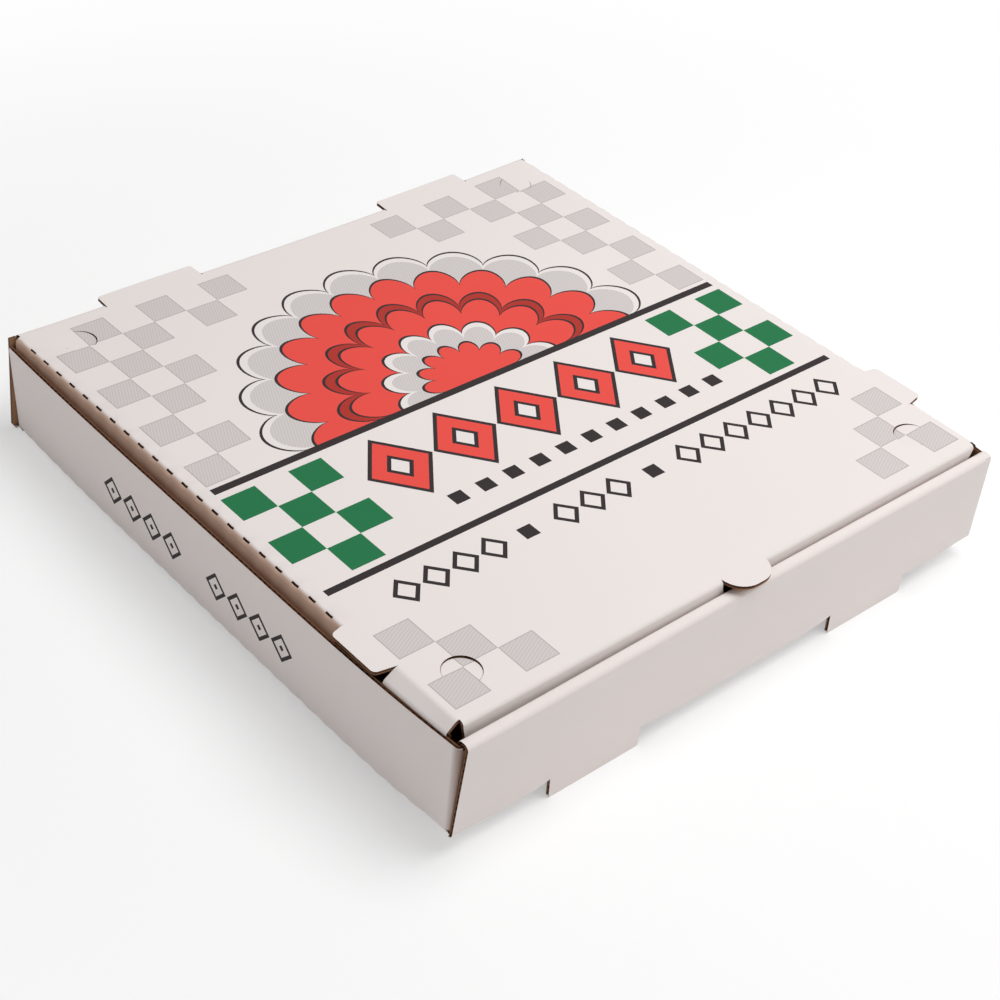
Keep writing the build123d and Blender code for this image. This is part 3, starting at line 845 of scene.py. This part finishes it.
for side in (-1, 1):
    lid_flaps += [
        bend_sheet((side * panel_side, 0, flap_head), BEND, Z_AXIS, side * X_AXIS, Y_AXIS, side_run, 1,
                   steps=FOLD_STEPS, keep=~dash_cells, depth=STRIP_DEPTH),
        swept_sheet((soft_side + shoulder[:, :1]) * side * X_AXIS + (lid_z - shoulder[:, 1:]) * Z_AXIS,
                    shoulder_out * side * X_AXIS + shoulder_up * Z_AXIS, shoulder_run, Y_AXIS, soft_run, 1),
        flat_sheet((side * lid_side, 0, 0), Y_AXIS, Z_AXIS, side * X_AXIS, 0, cut_line([
            (flap_rear, flap_head), (tab_rear, flap_head), (tab_rear, tab_notch), (tab_front, tab_notch),
            (tab_front, soft_head), (flap_front, soft_head), (flap_front + FLAP_SLANT, SIDE_FLAP_FOOT),
            (flap_rear - FLAP_SLANT, SIDE_FLAP_FOOT)], a_lines=SCORED_LINES))]

SQUARE = 16.6 * MM          # side of one printed square, and the unit of the print's other sizes
PRINT_SHIFT = 0.25          # middle of the lid to the print's own middle line
PRINT_HALF = 8.76           # middle of the lid to the outer edge of the print
REAR_CHECKS = (1.03, 1.01, 0.61)    # block of checks: a square's width and height, and where the rows begin
FRONT_CHECKS = (1.03, 0.985, -9.0)
GREEN_CHECKS = (1.012, -0.992, 0.0)
CHECK_LINE = 0.03           # half the width of a grey square's outline
GREY_LINE = 0.85            # how dark that outline is
HATCH_PITCH = 1.32 * MM
HATCH_TURN = radians(65)    # hatch lines off the box's depth in the front squares, off its width elsewhere
HATCH_MIDDLE = 0.5          # how dark the hatched grey is
HATCH_SWING = 0.1           # and how far it changes from line to line
BARS = ((0.23, 0.47), (-4.38, -4.16))       # edges of the two black lines
SMALL_ENDS = (-4.1, 5.4)    # row of small squares: where it begins and ends
SMALL_EDGES = (-3.46, -3.03)
SMALL_PITCH = 0.905
SMALL_SHARE = 0.49          # inked share of the pitch
OUTLINE = 0.085             # width of a petal's outline
PETAL_ROUND = 0.6           # power of a sine that rounds a petal's end
GREY_INSET = 0.3            # edge of a pale petal to its grey middle
ROSETTE_FOOT = 0.47
RED_ROW = (-5.35, 2.14, 5, -1.42, 2.75)     # row of lozenges: start, width, count, middle and height
RED_EDGES = (0.98, 0.85, 0.4, 0.27)         # where a red lozenge's four inks begin, from outside in
OPEN_ROWS = ((-7.6, 4), (-2.55, 3), (1.75, 7))      # where a row of open lozenges begins, how many it has
OPEN_WIDTH = 0.9
OPEN_HEIGHT = 1.05
OPEN_MIDDLE = -5.27
OPEN_LINE = (0.6, 0.93)     # inner and outer edge of an open lozenge's outline, as shares of the lozenge
DOTS = (-3.35, 0.93)        # middles of the square dots between those rows
DOT_HALF = 0.22
LID_WHITE = (0.85, 0.79, 0.768, 1)
PALE_INK = (0.83, 0.775, 0.755, 1)
RED_INK = (0.81, 0.083, 0.066, 1)
DEEP_RED_INK = (0.42, 0.035, 0.026, 1)
GREEN_INK = (0.016, 0.168, 0.062, 1)
GREY_INK = (0.43, 0.395, 0.39, 1)
# painted brown shade on the lid's side flaps, in the gap beside the side walls
FLAP_SHADE_BROWN = (0.54, 0.365, 0.275, 1)
FLAP_SHADE_TURN = (0.38, 0.84)    # turn to the side at which the painted brown shade on the scored fold begins, and is whole
ROSETTE = (                 # rings from outside in: reach, depth between petals, their count, turn and ink
    (6.58, 0.75, 11, 0.0, PALE_INK), (5.55, 0.85, 11, pi / 2, RED_INK), (4.3, 0.8, 9, 0.0, DEEP_RED_INK),
    (3.95, 0.8, 9, 0.0, RED_INK), (2.75, 0.6, 7, pi / 2, PALE_INK), (1.75, 0.45, 7, 0.0, RED_INK))


def checks(from_edge, up, block, columns, rows):
    """Every other square of a block at the print's outer edge: a mask of them and one of their outlines.
    columns(row) is how many squares wide a row is, less a half."""
    width, height, first = block
    across, rise = from_edge / width, (up - first) / height
    column, row = across.floor(), rise.floor()
    every_other = (column > -0.5) & (column < columns(row)) & row.within(-0.5, rows - 0.5)
    every_other = every_other & ((column + row) % 2.0 < 0.5)
    from_middle = abs(across % 1.0 - 0.5) | abs(rise % 1.0 - 0.5)
    return every_other, every_other & (from_middle > 0.5 - CHECK_LINE)


def hatched(a, b):
    """How dark the grey is: a sine across lines that lie HATCH_TURN off b's direction."""
    across = a * cos(HATCH_TURN) - b * sin(HATCH_TURN)
    return (across * (tau / HATCH_PITCH)).sin() * HATCH_SWING + HATCH_MIDDLE


def lid_print(colour, x, y, z):
    """Flat inks on the lid: hatched grey and green checks at its sides, two black lines, a half rosette of
    petals over the upper one, red lozenges and small squares between them, open lozenges below, and painted
    brown shade on the side flaps below their scored fold."""
    left, up = x / SQUARE, y / SQUARE - PRINT_SHIFT
    from_edge = PRINT_HALF - abs(left)
    rear, rear_lines = checks(
        from_edge, up, REAR_CHECKS, lambda row: 1.5 + (row > 3.5) + (row > 5.5) * 3.0, 8)
    front, front_lines = checks(from_edge, up, FRONT_CHECKS, lambda row: 2.5 - row, 3)
    green, _ = checks(from_edge, up, GREEN_CHECKS, lambda row: 2.5, 4)
    # painted shade: brown laid over the side flaps below their scored fold, in the shaded gap beside the
    # walls; stretched is how far the board has turned to the side
    aside = colour.node("ShaderNodeAttribute", {"attribute_name": "aside"}, output="Fac")
    stretched = colour.node("ShaderNodeMapRange", values={
        "Value": aside, "From Min": FLAP_SHADE_TURN[0], "From Max": FLAP_SHADE_TURN[1]})
    colour = colour.tinted(FLAP_SHADE_BROWN, stretched & (y > tab_rear) & (abs(x) > panel_side))
    grey = (rear & hatched(y, x)) | (front & hatched(x, y)) | ((rear_lines | front_lines) & GREY_LINE)
    colour = colour.tinted(GREY_INK, grey)
    colour = colour.tinted(GREEN_INK, green)

    rise = up - ROSETTE_FOOT
    radius = (left * left + rise * rise) ** 0.5
    turn = rise.math("ARCTAN2", rise, left)
    above = rise > 0.0
    for reach, dip, petals, shift, ink in ROSETTE:
        lobe = abs((turn * float(petals) + shift).sin()) ** PETAL_ROUND
        edge = reach - dip + lobe * dip
        colour = colour.tinted(BLACK_INK, (radius < edge) & above)
        colour = colour.tinted(ink, (radius < edge - OUTLINE) & above)
        if ink == PALE_INK:
            colour = colour.tinted(GREY_INK, (radius < edge - GREY_INSET) & above & hatched(y, x))

    distance, row = lozenges(left, up, *RED_ROW)
    for edge, ink in zip(RED_EDGES, (BLACK_INK, RED_INK, BLACK_INK, PALE_INK)):
        colour = colour.tinted(ink, (distance < edge) & row)
    black = ((left - SMALL_ENDS[0]) / SMALL_PITCH) % 1.0 < SMALL_SHARE
    black = black & left.within(*SMALL_ENDS) & up.within(*SMALL_EDGES)
    for low, high in BARS:
        black = black | (up.within(low, high) & (from_edge > 0.0))
    for first, count in OPEN_ROWS:
        distance, row = lozenges(left, up, first, OPEN_WIDTH, count, OPEN_MIDDLE, OPEN_HEIGHT)
        black = black | (distance.within(*OPEN_LINE) & row)
    for middle in DOTS:
        black = black | ((abs(left - middle) < DOT_HALF) & (abs(up - OPEN_MIDDLE) < DOT_HALF))
    return colour.tinted(BLACK_INK, black), black | green


def settle_lid(place, facing):
    """Vents pressed in about the line that joins the ends of their cut, scored creases that dip at each cut,
    side flaps that follow the bowed walls below their crease, and the hanging rear edge."""
    place = scalloped(tabs_shifted(place), facing, panel_side - BEND, lid_high[2], flap_head - BEND, tab_rear)
    on_top = place[:, 2] > lid_z - WELD
    to_hinge = VENT_RADIUS * cos(pi - radians(VENT_SWEEP) / 2)      # vent's centre to the line it bends on
    drop = np.zeros(len(place))
    for centre, towards_corner in vents:
        away = place[:, :2] - centre
        from_hinge = to_hinge - away @ (cos(towards_corner), sin(towards_corner))
        inside = on_top & (np.linalg.norm(away, axis=1) < VENT_RADIUS)
        drop += inside * np.maximum(from_hinge, 0) * sin(VENT_PRESS)
    below = np.clip((lid_z - place[:, 2]) / (lid_z - SIDE_TOP), 0, 1)
    below = below * (np.abs(place[:, 0]) > soft_side + WELD)
    follow = FLAP_FOLLOW * wall_bow(place) * below * np.sign(place[:, 0])
    place = place - drop[:, None] * Z_AXIS + follow[:, None] * X_AXIS
    return rear_sagged(place)


lid_board = board_piece("lid_board", [lid_panel, *lid_flaps], settle_lid,
                        (white_liner("white_liner_lid", LID_WHITE, lid_print), kraft, brown_medium, cut_edge))
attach(lid_board, "lid")
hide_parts("lid")


# Hinge crease
# The lid is one board with the rear wall: three stretches of crease beside the heel tabs bend as it opens.
hinge_head = lid_z - HINGE_BEND


def plain_print(colour, x, y, z):
    """Unprinted liner: the colour as it is, and a mask that is 0 on the whole box."""
    return colour, (x > 1.0)


def settle_crease(place, facing):
    """The hanging rear edge and the stretched heel tabs, as on the lid and the rear wall."""
    return rear_sagged(tabs_shifted(place))


crease_finishes = (white_liner("white_liner_crease", LID_WHITE, plain_print), kraft, brown_medium, cut_edge)
for name, low, high in (("left", -panel_side, -notch_out), ("middle", -notch_in, notch_in),
                        ("right", notch_out, panel_side)):
    lines = grid_lines(low, high)
    hinge_crease = board_piece(f"hinge_crease_{name}", [
        flat_sheet((0, REAR_Y, 0), X_AXIS, Z_AXIS, Y_AXIS, 1, cut_line([
            (low, CREASE_FOOT), (high, CREASE_FOOT), (high, hinge_head), (low, hinge_head)]),
            depth=STRIP_DEPTH),
        bend_sheet((0, panel_rear, hinge_head), HINGE_BEND, Y_AXIS, Z_AXIS, X_AXIS, lines, 0,
                   depth=STRIP_DEPTH)],
        settle_crease, crease_finishes)
    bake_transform(hinge_crease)


# Table, light and camera
# A white table that the box rests on with its foot tabs and rear edge, one broad soft lamp and a pale sky.
TABLE_HALF = 6.0
SHADE_REACH = (0.22, 0.6)   # table's shade is whole up to the first of these from the box, gone at the second
SHADE_LIFT = 0.4            # share of plain white in the whole shade
SKY = 0.39
LAMP_PLACE = (0.4, -0.3, 1.17)
LAMP_SIZE = 1.0
LAMP_POWER = 11.4
CAMERA_PLACE = (-0.49717, -0.51655, 0.54624)
CAMERA_RIGHT = (0.75492, -0.65085, 0.08057)
CAMERA_DOWN = (-0.35368, -0.50750, -0.78572)
CAMERA_FORWARD = (0.55227, 0.56466, -0.61331)
LENS = 70.42
SENSOR = 36.0

scene = bpy.context.scene
table_xy = np.array([(-1, -1), (1, -1), (1, 1), (-1, 1)]) * TABLE_HALF
table_z = (table_xy[:, 1] - floor_rear) * table_fall
table_mesh = bpy.data.meshes.new("table")
table_mesh.from_pydata(np.column_stack((table_xy, table_z)), [], [(0, 1, 2, 3)])
table = bpy.data.objects.new("table", table_mesh)
scene.collection.objects.link(table)


def seen_rays(wire):
    """1 for rays from the camera and those that gloss or glass sends on, 0 for light between surfaces."""
    path = wire.node("ShaderNodeLightPath")
    seen = path
    for other in ("Is Glossy Ray", "Is Transmission Ray"):
        seen = seen | Wire(path.tree, path.socket.node.outputs[other])
    return seen


def table_white():
    """White table with faint clouds, which turns to an even white where the box's shade has ended."""
    material, wire, shader = new_finish("table_white")
    spot = wire.node("ShaderNodeTexCoord", output="Object")
    clouds = wire.node("ShaderNodeTexNoise", values={"Vector": spot, "Scale": 2.0})
    plug(wire.mixed(clouds, (1, 1, 1, 1), (0.97, 0.97, 0.97, 1)), shader, "Base Color")
    shader.inputs["Roughness"].default_value = 0.9
    distance = wire.node("ShaderNodeVectorMath", {"operation": "LENGTH"}, {0: spot}, "Value")
    far = wire.node("ShaderNodeMapRange", {"interpolation_type": "SMOOTHSTEP"}, {
        "Value": distance, "From Min": SHADE_REACH[0], "From Max": SHADE_REACH[1], "To Min": SHADE_LIFT})
    plain = wire.node("ShaderNodeEmission", values={"Color": (1, 1, 1, 1), "Strength": 1.0})
    surface = wire.node("ShaderNodeMixShader", values={0: far & seen_rays(wire), 1: wire, 2: plain})
    plug(surface, material.node_tree.nodes["Material Output"], "Surface")
    return material


table_mesh.materials.append(table_white())

world = bpy.data.worlds.new("pale_sky")
world.use_nodes = True
scene.world = world
background = world.node_tree.nodes["Background"]
background.inputs["Color"].default_value = (1, 1, 1, 1)
plug(seen_rays(Wire(world.node_tree, background.outputs[0])) * (1 - SKY) + SKY, background, "Strength")

lamp_data = bpy.data.lights.new("soft_lamp", "AREA")
lamp_data.shape = "DISK"
lamp_data.size = LAMP_SIZE
lamp_data.energy = LAMP_POWER
lamp = bpy.data.objects.new("soft_lamp", lamp_data)
lamp.location = LAMP_PLACE
lamp.rotation_euler = (-Vector(LAMP_PLACE)).to_track_quat("-Z", "Y").to_euler()
scene.collection.objects.link(lamp)

camera_data = bpy.data.cameras.new("camera")
camera_data.lens = LENS
camera_data.sensor_width = SENSOR
camera = bpy.data.objects.new("camera", camera_data)
axes = np.column_stack((CAMERA_RIGHT, -np.array(CAMERA_DOWN), -np.array(CAMERA_FORWARD), CAMERA_PLACE))
camera.matrix_world = Matrix(np.vstack((axes, (0, 0, 0, 1))).tolist())
scene.collection.objects.link(camera)
scene.camera = camera
scene.view_settings.view_transform = "Standard"
